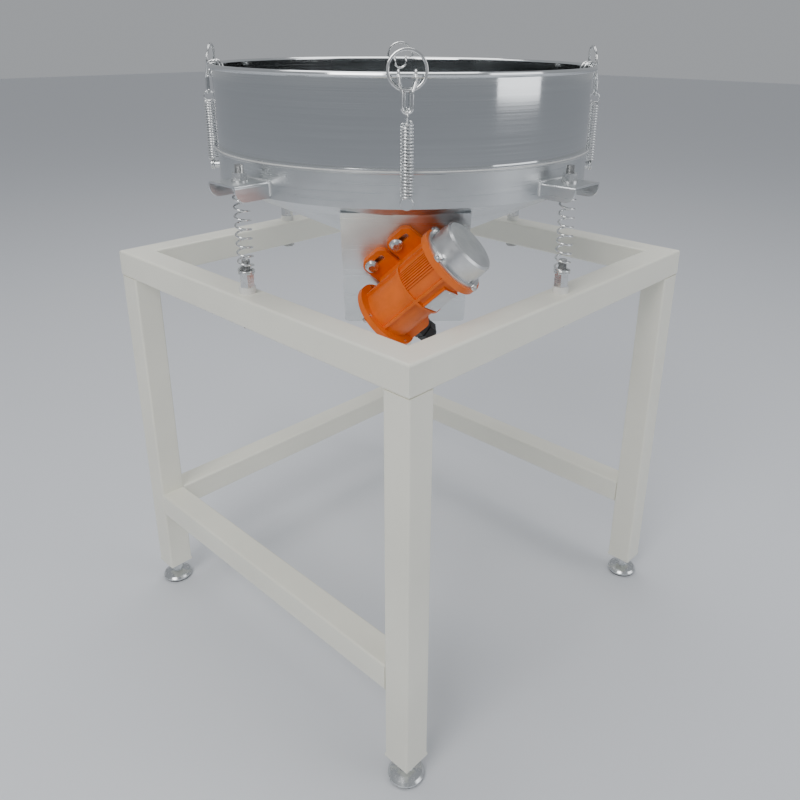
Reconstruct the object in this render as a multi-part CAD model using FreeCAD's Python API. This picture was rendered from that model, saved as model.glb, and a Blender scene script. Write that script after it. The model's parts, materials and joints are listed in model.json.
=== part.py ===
"""Vibrating sieve: square-tube stand, spring-mounted pan, vibrator motor, lift-off drum with spring clips.

Millimetres, +Z up. The origin is on the floor under the centre of the stand.
Front is -Y (the open side of the stand); the motor hangs in the front-left corner.
"""
import FreeCAD, Part
import math
import os

Vec = FreeCAD.Vector

# ---- stand ----
tube_size = 30.0            # square tube
tube_wall = 2.0
tube_corner = 2.5           # outer corner radius of the tube
foot_height = 26.0          # floor to the underside of the end plates
leg_height = 435.0          # end plate underside to the top of the frame
end_plate_thickness = 3.0
lower_rail_rise = 115.0     # end plate underside to the top of the lower rails

# ---- levelling feet ----
pad_radius = 17.3
pad_height = 4.0
pad_step = 1.5              # how far the rubber reaches up inside the cup
cup_radius = 18.3
cup_wall = 1.5
cup_rise = 7.0
hub_radius = 7.5
hub_height = 4.0
hex_flats = 14.0
hex_height = 5.0
stem_radius = 5.0           # M10
stem_above_plate = 28.0
thread_clearance = 0.08

# ---- spring stacks on the rails ----
stud_radius = 4.0           # M8
stud_inset = 15.5           # stand outside to the stud axis
bolt_head_flats = 13.0
bolt_head_height = 5.3
sleeve_radius = 8.0
sleeve_height = 6.5
nut_flats = 13.0
nut_height = 6.7
washer_radius = 8.0
washer_thickness = 1.6
lower_stud_above_nuts = 12.0
spring_outer_radius = 8.25
spring_wire = 2.0
spring_turns = 10.5

# ---- pan ----
pan_radius = 200.0          # outside of the pan and of the drum
stand_margin = 32.5         # pan outside to the frame outside
sheet = 1.5
pan_bottom_rise = 92.5      # frame top to the pan's bottom edge
joint_rise = 126.0          # frame top to the middle of the pan and drum joint
lip_width = 3.8
lip_thickness = 1.8
gasket_thickness = 1.2
cone_angle = 26.0
outlet_radius = 45.0
outlet_below_frame = 30.0

# ---- spring brackets ----
bracket_width = 43.0
bracket_sheet = 2.0
bracket_flange = 15.3
bracket_overhang = 4.5      # frame outside to the bracket's outer end
bracket_top_rise = 108.8
bracket_corner = 11.0
bracket_bend = 3.0
upper_stud_above = 15.7
upper_stud_below = 12.0

# ---- drum and screen ----
drum_height = 82.1          # joint middle to the top of the rolled rim
rim_radius = 2.6            # section radius of the rolled rim
rim_out = 1.7               # centre of the rolled rim outside the wall
rim_shoulder = 0.25         # start of the bend off the wall's inside
mesh_cells = 12             # openings of the plain grid across the screen
mesh_bar = 2.0              # width of a bar of that grid
hoop_width = 7.0
hoop_height = 6.0
hoop_clearance = 0.5
mesh_thickness = 0.6
gasket_reach_in = 14.0      # pan outside to the gasket's inner edge

# ---- clips: peg, extension spring, wire hook, split ring ----
clip_stand_off = 10.3       # pan outside to the spring axis
clip_spring_radius = 6.0
clip_wire = 1.7
peg_rise = 99.7
peg_radius = 4.0
peg_head_radius = 5.4
peg_head_thickness = 1.2
coil_bottom_rise = 105.3
coil_top_rise = 167.7
hook_wire = 2.6
hook_half_width = 4.4
hook_arch_half_width = 7.2
hook_arch_radius = 6.75
hook_waist_rise = 193.0
hook_inner_drop = 8.2       # arch centre to the bottom of the inner U
hook_seat_clearance = 0.05
hook_end_radius = 0.9       # the wire's two ends, drawn down and doubled inside the legs
hook_end_bite = 0.16        # how far an end is let into its leg
ring_radius = 16.2          # centre line of the split ring
ring_wire = 2.6
ring_stand_off = 6.6        # pan outside to the ring's lowest point
ring_seat_rise = 193.5
ring_lean = 5.0

# ---- motor plate ----
plate_width = 120.0
plate_length = 126.0
plate_thickness = 4.0
plate_flange = 14.0
plate_lean = 18.0
plate_set_in = 20.0         # pan outside back to the plate's top edge
plate_top_rise = 84.8
plate_corner = 4.0
lug_width = 23.0
lug_height = 5.0
lug_thickness = 2.0
gusset_thickness = 4.0
gusset_spacing = 104.0
gusset_top_rise = 24.0      # top corner above the plate's top edge
gusset_top_depth = 30.0     # and behind the plate
gusset_low_drop = 20.0      # low corner below the plate's top edge
gusset_low_depth = 52.0     # and behind the plate
gusset_foot = 14.0          # plate's bottom edge to the gusset's foot

# ---- vibrator motor: x along its axis from the plate's top edge centre, y up the plate, z off it ----
motor_turn = 46.5           # motor axis above the plate's width
motor_axis_y = -47.5
motor_axis_z = 37.7
body_radius = 25.5
body_bore = 22.0
cover_start = -80.0
cover_thickness = 3.0
cover_ease = 1.0
flange_start = 4.0
flange_thickness = 6.5
flange_radius = 33.9
end_flange_thickness = 3.0  # the flange under the cover
flange_flare = 3.0          # cone between the body and the cap's flange
saddle_half = 18.0          # casting between body and feet, each side of the axis
terminal_corner = 4.0
mid_rib_x = -32.7
mid_rib_radius = 28.0
rib_thickness = 2.6
rib_angles = (-12.0, 100.0, -100.0)   # turned from straight up off the plate
fin_height = 1.5
fin_width = 1.1
fin_count = 9
fin_first_deg = -40.0
fin_pitch_deg = 5.0
nameplate_start = -31.0
nameplate_length = 27.0
nameplate_width = 19.0
nameplate_angle = 25.0
foot_thickness = 6.0
foot_bolt_x = (-61.0, -27.9)
foot_bolt_offset = 33.0     # motor axis to a foot bolt, along y
foot_bolt_radius = 2.5      # M5
slot_radius = 2.9
slot_travel = 12.7
lobe_radius = 8.5
foot_bolt_head_radius = 6.8
foot_bolt_head = 4.6
foot_nut_flats = 8.0
foot_nut_height = 4.0
cap_length = 21.5
cap_base_radius = 27.6
cap_end_radius = 26.8
cap_bevel = 2.0
cap_wall = 2.0
cap_flange = 2.0
cap_flange_radius = 31.5
cap_screw_circle = 31.0
cap_screw_first_deg = 45.0
cap_screw_radius = 1.5
cap_screw_length = 7.0
cap_screw_head_radius = 2.6
cap_screw_head = 2.2
cap_lobe_radius = 4.2
terminal_length = 26.0
terminal_reach = 31.0       # motor axis to the terminal box's outer face
terminal_depth = 23.0
gland_x = -64.2
gland_radius = 8.0          # M16
gland_hex_flats = 19.0
gland_hex_height = 5.5
gland_groove = 1.5
gland_nut_height = 7.0
gland_dome = 4.0
gland_length = 18.0
gland_bore = 3.5
gland_chamber = 5.0         # wider inside the thread
gland_seal_start = 2.0      # outside the box's face, where the narrow bore starts
gland_thread = 7.0
shaft_radius = 6.0
shoulder_radius = 8.0
rotor_radius = 12.5
rotor_gap = 6.0             # bearing to the rotor core
air_gap = 0.5
bearing_radius = 14.0
bearing_width = 8.0
running_gap = 0.05
weight_radius = 20.0
weight_hub_radius = 9.0
weight_thickness = 6.0
weight_gap = 2.5
winding_length = 6.0
winding_radius = 20.5

# ---- levels and positions that follow ----
frame_top = foot_height + leg_height
stand_side = 2.0 * (pan_radius + stand_margin)
half_side = stand_side / 2.0
tube_centre = half_side - tube_size / 2.0
stud_distance = half_side - stud_inset
bracket_reach = half_side + bracket_overhang
gasket_inner_radius = pan_radius - gasket_reach_in
clip_radius = pan_radius + clip_stand_off
ring_seat_radius = pan_radius + ring_stand_off
plate_distance = pan_radius - plate_set_in
spring_bottom = frame_top + sleeve_height + 2.0 * nut_height + washer_thickness
bracket_top = frame_top + bracket_top_rise
spring_top = bracket_top - bracket_sheet
spring_mean_radius = spring_outer_radius - spring_wire / 2.0
pan_bottom = frame_top + pan_bottom_rise
joint_height = frame_top + joint_rise
pan_lip_top = joint_height - gasket_thickness / 2.0
drum_lip_bottom = joint_height + gasket_thickness / 2.0
rim_height = joint_height + drum_height - rim_radius
rim_centre_radius = pan_radius + rim_out
cone_slope = math.tan(math.radians(cone_angle))
cone_skin = sheet / math.cos(math.radians(cone_angle))
CORNERS = {"front_left": 225.0, "front_right": 315.0, "rear_right": 45.0, "rear_left": 135.0}
SIDES = {"right": 0.0, "rear": 90.0, "left": 180.0, "front": 270.0}


# ---- small helpers ----
def box(x0, x1, y0, y1, z0, z1):
    return Part.makeBox(x1 - x0, y1 - y0, z1 - z0, Vec(x0, y0, z0))


def cylinder(radius, z0, z1, x=0.0, y=0.0):
    return Part.makeCylinder(radius, z1 - z0, Vec(x, y, z0))


def ring(outer, inner, z0, z1, x=0.0, y=0.0):
    return cylinder(outer, z0, z1, x, y).cut(cylinder(inner, z0 - 1.0, z1 + 1.0, x, y))


def hexagon(flats, z0, z1, x=0.0, y=0.0):
    """Hexagonal prism, flats across the y direction."""
    reach = flats / math.sqrt(3.0)
    points = [Vec(x + reach * math.cos(math.radians(60.0 * i)), y + reach * math.sin(math.radians(60.0 * i)), z0)
              for i in range(7)]
    return Part.Face(Part.makePolygon(points)).extrude(Vec(0, 0, z1 - z0))


def revolve(profile):
    """Solid of revolution about Z from (radius, height) corners."""
    points = [Vec(r, 0, z) for r, z in profile]
    face = Part.Face(Part.makePolygon(points + points[:1]))
    return face.revolve(Vec(0, 0, 0), Vec(0, 0, 1), 360)


def turned(shape, angle):
    copy = shape.copy()
    copy.rotate(Vec(0, 0, 0), Vec(0, 0, 1), angle)
    return copy


def moved(shape, x, y, z):
    copy = shape.copy()
    copy.translate(Vec(x, y, z))
    return copy


def along_x(shape):
    """Turn a shape built along Z so that it lies along X."""
    copy = shape.copy()
    copy.rotate(Vec(0, 0, 0), Vec(0, 1, 0), 90)
    return copy


def fused(shapes):
    return shapes[0].multiFuse(shapes[1:]).removeSplitter()


def group(shapes):
    return Part.makeCompound(shapes)


def save(name, shape):
    shape.exportStep("parts/" + name + ".step")


# ---- stand ----
def square_tube(length):
    """Square tube along Z from z = 0, rounded outside corners."""
    half = tube_size / 2.0
    blank = box(-half, half, -half, half, 0, length)
    upright = [e for e in blank.Edges if abs(e.Length - length) < 1e-6 and abs(e.tangentAt(e.FirstParameter).z) > 0.9]
    blank = blank.makeFillet(tube_corner, upright)
    inner = half - tube_wall
    return blank.cut(box(-inner, inner, -inner, inner, -1, length + 1))


def leg(angle):
    bottom = foot_height + end_plate_thickness
    tube = square_tube(frame_top - tube_size - bottom)
    reach = tube_centre * math.sqrt(2.0)
    a = math.radians(angle)
    return moved(tube, reach * math.cos(a), reach * math.sin(a), bottom)


def top_rail(angle):
    """Rail along Y at +X, mitred at both ends and drilled for the spring bolt, then turned into place."""
    tube = square_tube(stand_side)
    tube.rotate(Vec(0, 0, 0), Vec(1, 0, 0), -90)
    tube = moved(tube, tube_centre, -half_side, frame_top - tube_size / 2.0)
    inner = half_side - tube_size
    z0 = frame_top - tube_size - 1.0
    corners = [Vec(half_side, -half_side, z0), Vec(half_side, half_side, z0), Vec(inner, inner, z0),
               Vec(inner, -inner, z0), Vec(half_side, -half_side, z0)]
    mitre = Part.Face(Part.makePolygon(corners)).extrude(Vec(0, 0, tube_size + 2.0))
    hole = cylinder(stud_radius + thread_clearance, z0, frame_top + 1.0, stud_distance, 0)
    return turned(tube.common(mitre).cut(hole), angle)


def lower_rail(angle):
    length = stand_side - 2.0 * tube_size
    tube = square_tube(length)
    tube.rotate(Vec(0, 0, 0), Vec(1, 0, 0), -90)
    height = foot_height + lower_rail_rise - tube_size / 2.0
    return turned(moved(tube, tube_centre, -length / 2.0, height), angle)


def at_corners(shape):
    """Copies of a shape built on the Z axis, one under each leg."""
    places = [(sx * tube_centre, sy * tube_centre) for sx in (-1, 1) for sy in (-1, 1)]
    return [moved(shape, x, y, 0) for x, y in places]


def end_plate():
    half = tube_size / 2.0
    plate = box(-half, half, -half, half, foot_height, foot_height + end_plate_thickness)
    return plate.cut(cylinder(stem_radius + thread_clearance, foot_height - 1, foot_height + 10))


# ---- levelling feet ----
def foot_pad():
    """Rubber disc that steps up into the cup."""
    step = pad_radius - cup_wall
    return revolve([(0, 0), (pad_radius - 0.8, 0), (pad_radius, 0.8), (pad_radius, pad_height - pad_step),
                    (step, pad_height - pad_step), (step, pad_height), (0, pad_height)])


def foot_cup():
    """Dished steel cup with hub, adjusting hexagon and threaded stem in one piece."""
    rim = pad_height - pad_step
    inner = pad_radius - cup_wall
    crown = pad_height + cup_rise
    hub_top = crown + hub_height
    hex_top = hub_top + hex_height
    stem_top = foot_height + stem_above_plate
    body = revolve([(0, pad_height), (inner, pad_height), (inner, rim), (cup_radius, rim),
                    (cup_radius, rim + 2.2), (cup_radius - 2.0, rim + 4.6), (hub_radius + 4.0, crown - 1.6),
                    (hub_radius, crown), (hub_radius, hub_top), (stem_radius, hub_top),
                    (stem_radius, stem_top - 1.0), (stem_radius - 1.0, stem_top), (0, stem_top)])
    return fused([body, hexagon(hex_flats, hub_top, hex_top)])


# ---- spring stacks ----
def on_rails(shape):
    """Copies of a shape built at the right-hand rail's stud, one on each rail."""
    return [turned(shape, angle) for angle in SIDES.values()]


def lower_stud():
    """Bolt up through the rail, its head under it."""
    under = frame_top - tube_size
    shank = cylinder(stud_radius, under, spring_bottom + lower_stud_above_nuts, stud_distance)
    head = hexagon(bolt_head_flats, under - bolt_head_height, under, stud_distance)
    return fused([shank, head])


def sleeve():
    return ring(sleeve_radius, stud_radius + thread_clearance, frame_top, frame_top + sleeve_height, stud_distance)


def nut_stack(base, with_two):
    """One or two nuts with a washer, their bores clear of the stud."""
    bore = cylinder(stud_radius + thread_clearance, base - 1.0, base + 2.0 * nut_height + washer_thickness + 1.0,
                    stud_distance)
    if with_two:
        parts = [hexagon(nut_flats, base, base + nut_height, stud_distance),
                 hexagon(nut_flats, base + nut_height, base + 2 * nut_height, stud_distance),
                 cylinder(washer_radius, base + 2 * nut_height, base + 2 * nut_height + washer_thickness,
                          stud_distance)]
    else:
        parts = [cylinder(washer_radius, base, base + washer_thickness, stud_distance),
                 hexagon(nut_flats, base + washer_thickness, base + washer_thickness + nut_height, stud_distance)]
    return [p.cut(bore) for p in parts]


def support_spring():
    """Open coil of square-drawn wire between the washer and the bracket, on the right-hand rail."""
    half = spring_wire / 2.0
    height = spring_top - spring_bottom - spring_wire
    pitch = height / spring_turns
    path = Part.makeHelix(pitch, height, spring_mean_radius)
    section = Part.makePolygon([Vec(spring_mean_radius - half, 0, -half), Vec(spring_mean_radius + half, 0, -half),
                                Vec(spring_mean_radius + half, 0, half), Vec(spring_mean_radius - half, 0, half),
                                Vec(spring_mean_radius - half, 0, -half)])
    coil = Part.Wire(path.Edges).makePipeShell([section], True, True)
    return moved(coil, stud_distance, 0, spring_bottom + half)


# ---- pan ----
def pan_ring():
    """Short cylinder with an outward lip under the joint."""
    wall = pan_radius - sheet
    lip = pan_radius + lip_width
    top = pan_lip_top
    low = top - lip_thickness
    return revolve([(wall, pan_bottom), (pan_radius, pan_bottom), (pan_radius, low), (lip - 0.6, low),
                    (lip, low + 0.6), (lip, top - 0.6), (lip - 0.6, top), (wall, top)])


def cone_outside(radius):
    return pan_bottom - (pan_radius - radius) * cone_slope


def pan_cone():
    inner_edge = pan_radius - cone_skin / cone_slope
    bore = outlet_radius - sheet
    low = cone_outside(bore)
    return revolve([(bore, low), (pan_radius, pan_bottom), (inner_edge, pan_bottom), (bore, low + cone_skin)])


def outlet_spout():
    """Straight spout butted under the cone."""
    bore = outlet_radius - sheet
    low = frame_top - outlet_below_frame
    return revolve([(bore, low), (outlet_radius, low), (outlet_radius, cone_outside(outlet_radius)),
                    (bore, cone_outside(bore))])


def above_cone():
    """Everything over the cone's outer face, for trimming what is welded under it."""
    low = cone_outside(outlet_radius)
    return revolve([(0, low), (outlet_radius, low), (pan_radius, pan_bottom), (pan_radius, pan_bottom + 60.0),
                    (0, pan_bottom + 60.0)])


def spring_bracket():
    """Upside-down channel from the pan's wall out over the right-hand rail."""
    half = bracket_width / 2.0
    start = pan_radius - 10.0
    low = bracket_top - bracket_flange
    outer = box(start, bracket_reach, -half, half, low, bracket_top)
    bends = [e for e in outer.Edges if abs(e.tangentAt(e.FirstParameter).x) > 0.9
             and abs(e.CenterOfMass.z - bracket_top) < 1e-6]
    outer = outer.makeFillet(bracket_bend, bends)
    inner = box(start - 1, bracket_reach + 1, -half + bracket_sheet, half - bracket_sheet,
                low - 1, bracket_top - bracket_sheet)
    channel = outer.cut(inner)
    toe = box(bracket_reach - bracket_corner, bracket_reach + 1, -half - 1, half + 1, low - 1, low + bracket_corner)
    round_off = Part.makeCylinder(bracket_corner, bracket_width + 4,
                                  Vec(bracket_reach - bracket_corner, -half - 2, low + bracket_corner), Vec(0, 1, 0))
    channel = channel.cut(toe.cut(round_off))
    hole = cylinder(stud_radius + thread_clearance, low, bracket_top + 1, stud_distance)
    return channel.cut(hole).cut(cylinder(pan_radius, low - 1, bracket_top + 1))


def upper_stud():
    return cylinder(stud_radius, spring_top - upper_stud_below, bracket_top + upper_stud_above, stud_distance)


# ---- drum and screen ----
def drum_shell():
    """Cylinder with a bottom lip and a rolled rim, as one rolled sheet."""
    wall = pan_radius - sheet
    lip = pan_radius + lip_width
    low = drum_lip_bottom
    rim = []
    for i in range(9):
        a = math.radians(-140.0 + 35.0 * i)
        rim.append((rim_centre_radius + rim_radius * math.cos(a), rim_height + rim_radius * math.sin(a)))
    outline = [(wall, low), (lip - 0.6, low), (lip, low + 0.6), (lip, low + lip_thickness - 0.6),
               (lip - 0.6, low + lip_thickness), (pan_radius, low + lip_thickness)]
    outline += [(pan_radius, rim[0][1])] + rim[1:] + [(wall + rim_shoulder, rim_height + rim_radius / 3.0),
                                                      (wall, rim_height)]
    return revolve(outline)


def screen_hoop():
    outer = pan_radius - sheet - hoop_clearance
    return ring(outer, outer - hoop_width, drum_lip_bottom, drum_lip_bottom + hoop_height)


def screen_mesh():
    """Disc cut to a plain grid of square openings inside an edge band."""
    radius = pan_radius - sheet - hoop_clearance - hoop_width
    z0, z1 = drum_lip_bottom, drum_lip_bottom + mesh_thickness
    reach = radius - mesh_bar
    pitch = 2.0 * reach / mesh_cells
    bars = []
    for i in range(1, mesh_cells):
        at = -reach + i * pitch
        bars.append(box(at - mesh_bar / 2.0, at + mesh_bar / 2.0, -reach, reach, z0, z1))
        bars.append(box(-reach, reach, at - mesh_bar / 2.0, at + mesh_bar / 2.0, z0, z1))
    inside = cylinder(radius - mesh_bar / 2.0, z0, z1).common(fused(bars))
    return fused([inside, ring(radius, reach, z0, z1)])


def screen_gasket():
    return ring(pan_radius + lip_width - 0.6, gasket_inner_radius, pan_lip_top, drum_lip_bottom)


# ---- clips, built at +X and turned to the corners ----
def clip_peg():
    z = frame_top + peg_rise
    end = clip_radius + clip_wire / 2.0 + 0.4
    shaft = Part.makeCylinder(peg_radius, end + 1.0 - pan_radius + 4.0, Vec(pan_radius - 4.0, 0, z), Vec(1, 0, 0))
    head = Part.makeCylinder(peg_head_radius, peg_head_thickness, Vec(end, 0, z), Vec(1, 0, 0))
    shaft = shaft.cut(cylinder(pan_radius, z - 10, z + 10))
    return fused([shaft, head])


def hexagon_torus(radius, wire):
    """Round loop of wire about Z, with a six-sided section."""
    r = wire / 2.0
    return revolve([(radius + r * math.cos(math.radians(30 + 60 * i)), r * math.sin(math.radians(30 + 60 * i)))
                    for i in range(6)])


def clip_spring():
    """Close-wound body as one sleeve, with a loop round the peg and one through the hook."""
    mean = clip_spring_radius - clip_wire / 2.0
    low_end = frame_top + coil_bottom_rise
    high_end = frame_top + coil_top_rise
    body = cylinder(clip_spring_radius, low_end, high_end)
    body = body.cut(cylinder(clip_spring_radius - clip_wire, low_end + clip_wire, high_end - clip_wire))
    low = along_x(hexagon_torus(mean, clip_wire))
    low = moved(low, 0, 0, loop_centre())
    high = hexagon_torus(mean, clip_wire)
    high.rotate(Vec(0, 0, 0), Vec(1, 0, 0), 90)
    high = moved(high, 0, 0, hook_loop_centre())
    return moved(fused([body, low, high]), clip_radius, 0, 0)


def loop_centre():
    """The lower loop pulls up against the underside of the peg."""
    inner = clip_spring_radius - clip_wire
    return frame_top + peg_rise + inner - peg_radius - 0.05


def hook_loop_centre():
    """The upper loop runs into the last coil by a fraction of its wire."""
    return frame_top + coil_top_rise + clip_spring_radius - 0.65


def hook_tip_height():
    """Centre of the hook's wire where it hangs in the spring's upper loop."""
    inner = clip_spring_radius - clip_wire
    return hook_loop_centre() + inner - hook_wire / 2.0 - 0.3


def hook_arch_height():
    top = joint_height + drum_height + hook_wire / 2.0 + hook_seat_clearance
    return top - hook_arch_radius


def hook_path():
    """Closed wire path: up from the tip, over the rim on both sides, and round the inner U."""
    tip = hook_tip_height()
    waist = frame_top + hook_waist_rise
    arch = hook_arch_height()
    near = rim_centre_radius - 0.45 + hook_arch_radius
    far = near - 2.0 * hook_arch_radius
    w, n = hook_arch_half_width, hook_half_width
    low = arch - hook_inner_drop + w
    mid = (near + far) / 2.0
    points = {}
    for s in (1, -1):
        points[s] = [Vec(clip_radius, s * n, tip + n), Vec(clip_radius, s * n, waist), Vec(near, s * w, arch),
                     Vec(mid, s * w, arch + hook_arch_radius), Vec(far, s * w, arch), Vec(far, s * w, low)]
    left, right = points[1], points[-1]
    edges = [Part.Arc(right[0], Vec(clip_radius, 0, tip), left[0]).toShape()]
    edges += [Part.makeLine(left[0], left[1]), Part.makeLine(left[1], left[2]),
              Part.Arc(left[2], left[3], left[4]).toShape(), Part.makeLine(left[4], left[5]),
              Part.Arc(left[5], Vec(far, 0, low - w), right[5]).toShape(),
              Part.makeLine(right[5], right[4]), Part.Arc(right[4], right[3], right[2]).toShape(),
              Part.makeLine(right[2], right[1]), Part.makeLine(right[1], right[0])]
    return edges


def hook_section(at, direction):
    """Eight-sided wire section square to the path."""
    r = hook_wire / 2.0
    points = [Vec(r * math.cos(math.radians(22.5 + 45 * i)), r * math.sin(math.radians(22.5 + 45 * i)), 0)
              for i in range(9)]
    wire = Part.makePolygon(points)
    wire.Placement = FreeCAD.Placement(at, FreeCAD.Rotation(Vec(0, 0, 1), direction))
    return wire


def clip_hook():
    """The bent wire, swept in two halves that meet at the tip and at the inner U."""
    edges = hook_path()
    start = Vec(clip_radius, 0, hook_tip_height())
    halves = []
    tip_right, tip_left = split_arc(edges[0])
    end_left, end_right = split_arc(edges[5])
    for run in ([tip_left] + edges[1:5] + [end_left], [end_right] + edges[6:10] + [tip_right]):
        first = run[0].valueAt(run[0].FirstParameter)
        tangent = run[0].tangentAt(run[0].FirstParameter)
        halves.append(Part.Wire(run).makePipeShell([hook_section(first, tangent)], True, False))
    return fused(halves + hook_ends())


def hook_ends():
    """The two ends of the wire, lying against the insides of the legs."""
    at = hook_half_width - hook_wire / 2.0 - hook_end_radius + hook_end_bite
    low = hook_tip_height() + hook_half_width
    return [cylinder(hook_end_radius, low, frame_top + hook_waist_rise - 1.0, clip_radius, s * at) for s in (1, -1)]


def split_arc(edge):
    """Two halves of an arc edge."""
    a, b = edge.FirstParameter, edge.LastParameter
    m = (a + b) / 2.0
    return [edge.Curve.toShape(a, m), edge.Curve.toShape(m, b)]


def pull_ring():
    """Split ring standing on its lowest point, leaning in over the rim."""
    loop = hexagon_torus(ring_radius, ring_wire)
    loop.rotate(Vec(0, 0, 0), Vec(0, 1, 0), 90)
    loop = moved(loop, 0, 0, ring_radius)
    loop.rotate(Vec(0, 0, 0), Vec(0, 1, 0), -ring_lean)
    return moved(loop, ring_seat_radius, 0, frame_top + ring_seat_rise)


# ---- motor plate and motor ----
def plate_frame(turn):
    """Placement of the plate's frame: x across, y up the plate, z off its face; turned about its normal."""
    lean = math.radians(plate_lean)
    out = Vec(-1, -1, 0) * (1 / math.sqrt(2.0))
    across = Vec(1, -1, 0) * (1 / math.sqrt(2.0))
    normal = out * math.cos(lean) - Vec(0, 0, 1) * math.sin(lean)
    up = normal.cross(across)
    origin = out * plate_distance + Vec(0, 0, frame_top + plate_top_rise)
    matrix = FreeCAD.Matrix(across.x, up.x, normal.x, origin.x, across.y, up.y, normal.y, origin.y,
                            across.z, up.z, normal.z, origin.z, 0, 0, 0, 1)
    return FreeCAD.Placement(matrix).multiply(FreeCAD.Placement(Vec(), FreeCAD.Rotation(Vec(0, 0, 1), turn)))


def on_plate(shape, turn=0.0):
    copy = shape.copy()
    copy.Placement = plate_frame(turn).multiply(copy.Placement)
    return copy


def on_motor(shape):
    return on_plate(shape, motor_turn)


def motor_plate():
    """Plate with its bent top edge, lug, bolt holes and two gussets up to the cone."""
    half = plate_width / 2.0
    plate = box(-half, half, -plate_length, 0, -plate_thickness, 0)
    corners = [e for e in plate.Edges if abs(e.tangentAt(e.FirstParameter).z) > 0.9
               and e.CenterOfMass.y < -1.0]
    plate = plate.makeFillet(plate_corner, corners)
    flange = box(-half, half, -plate_thickness, 0, -plate_flange, -plate_thickness)
    lug = box(-lug_width / 2.0, lug_width / 2.0, -lug_height, 0, 0, lug_thickness)
    parts = [plate, flange, lug]
    for s in (-1, 1):
        x = s * gusset_spacing / 2.0
        t = gusset_thickness / 2.0
        outline = [Vec(x - t, -plate_thickness, -plate_thickness), Vec(x - t, gusset_top_rise, -plate_thickness - gusset_top_depth),
                   Vec(x - t, -gusset_low_drop, -plate_thickness - gusset_low_depth),
                   Vec(x - t, -plate_length + gusset_foot, -plate_thickness),
                   Vec(x - t, -plate_thickness, -plate_thickness)]
        parts.append(Part.Face(Part.makePolygon(outline)).extrude(Vec(gusset_thickness, 0, 0)))
    plate = on_plate(fused(parts)).cut(above_cone())
    holes = [cylinder(foot_bolt_radius + thread_clearance, -plate_thickness - 1, 1, x, y) for x, y in bolt_places()]
    return plate.cut(on_motor(group(holes)))


def bolt_places():
    """Foot bolts in the motor's frame."""
    return [(x, motor_axis_y + s * foot_bolt_offset) for x in foot_bolt_x for s in (-1, 1)]


def motor_cylinder(radius, x0, x1):
    shape = Part.makeCylinder(radius, x1 - x0, Vec(x0, motor_axis_y, motor_axis_z), Vec(1, 0, 0))
    return shape


def motor_cone(r0, r1, x0, x1):
    return Part.makeCone(r0, r1, x1 - x0, Vec(x0, motor_axis_y, motor_axis_z), Vec(1, 0, 0))


def about_axis(shape, angle):
    copy = shape.copy()
    copy.rotate(Vec(0, motor_axis_y, motor_axis_z), Vec(1, 0, 0), angle)
    return copy


def foot_lobe(x, side):
    """Rounded lug round one bolt slot, running in under the body."""
    y = motor_axis_y + side * foot_bolt_offset
    x1 = x + slot_travel
    inner = motor_axis_y + side * 14.0
    y0, y1 = min(y, inner), max(y, inner)
    strip = box(x - lobe_radius, x1 + lobe_radius, y0, y1, 0, foot_thickness)
    ends = [cylinder(lobe_radius, 0, foot_thickness, x, y), cylinder(lobe_radius, 0, foot_thickness, x1, y),
            box(x, x1, y - lobe_radius, y + lobe_radius, 0, foot_thickness)]
    return fused([strip] + ends)


def slot(x, side):
    y = motor_axis_y + side * foot_bolt_offset
    x1 = x + slot_travel
    return fused([cylinder(slot_radius, -1, foot_thickness + 1, x, y),
                  cylinder(slot_radius, -1, foot_thickness + 1, x1, y),
                  box(x, x1, y - slot_radius, y + slot_radius, -1, foot_thickness + 1)])


def cover_end():
    return cover_start + cover_thickness


def flange_end():
    return flange_start + flange_thickness


def bearing_left():
    """Start of the bearing seat at the covered end."""
    return cover_end() + weight_thickness + 2.0 * weight_gap


def bearing_right():
    """Start of the bearing seat at the cap end."""
    return flange_start - bearing_width


def housing_outside():
    x0 = cover_end()
    half = rib_thickness / 2.0
    parts = [motor_cylinder(body_radius, x0, flange_end()),
             motor_cylinder(mid_rib_radius, mid_rib_x - half, mid_rib_x + half),
             motor_cone(body_radius, flange_radius, flange_start - flange_flare, flange_start),
             motor_cylinder(flange_radius, flange_start, flange_end()),
             motor_cylinder(flange_radius, x0, x0 + end_flange_thickness)]
    for s in (-1, 1):
        parts += [foot_lobe(x, s) for x in foot_bolt_x]
    saddle_x0 = foot_bolt_x[0] - lobe_radius + 3.0
    saddle_x1 = foot_bolt_x[1] + slot_travel + lobe_radius - 3.0
    parts.append(box(saddle_x0, saddle_x1, motor_axis_y - saddle_half, motor_axis_y + saddle_half, 0,
                     motor_axis_z - body_bore))
    return parts


def long_rib(angle, top, width, x0, x1):
    """Rib along the body, from inside its wall out to a radius."""
    t = width / 2.0
    root = (body_radius + body_bore) / 2.0
    rib = box(x0, x1, motor_axis_y - t, motor_axis_y + t, motor_axis_z + root, motor_axis_z + top)
    return about_axis(rib, angle)


def terminal_box():
    """Box cast on the lower side of the body, for the cable gland."""
    y_out = motor_axis_y - terminal_reach
    z0 = motor_axis_z - terminal_depth / 2.0
    x0 = cover_end()
    blank = box(x0, x0 + terminal_length, y_out, motor_axis_y - body_bore + 4.0,
                z0, z0 + terminal_depth)
    edges = [e for e in blank.Edges if abs(e.tangentAt(e.FirstParameter).y) > 0.9]
    return blank.makeFillet(terminal_corner, edges)


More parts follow.
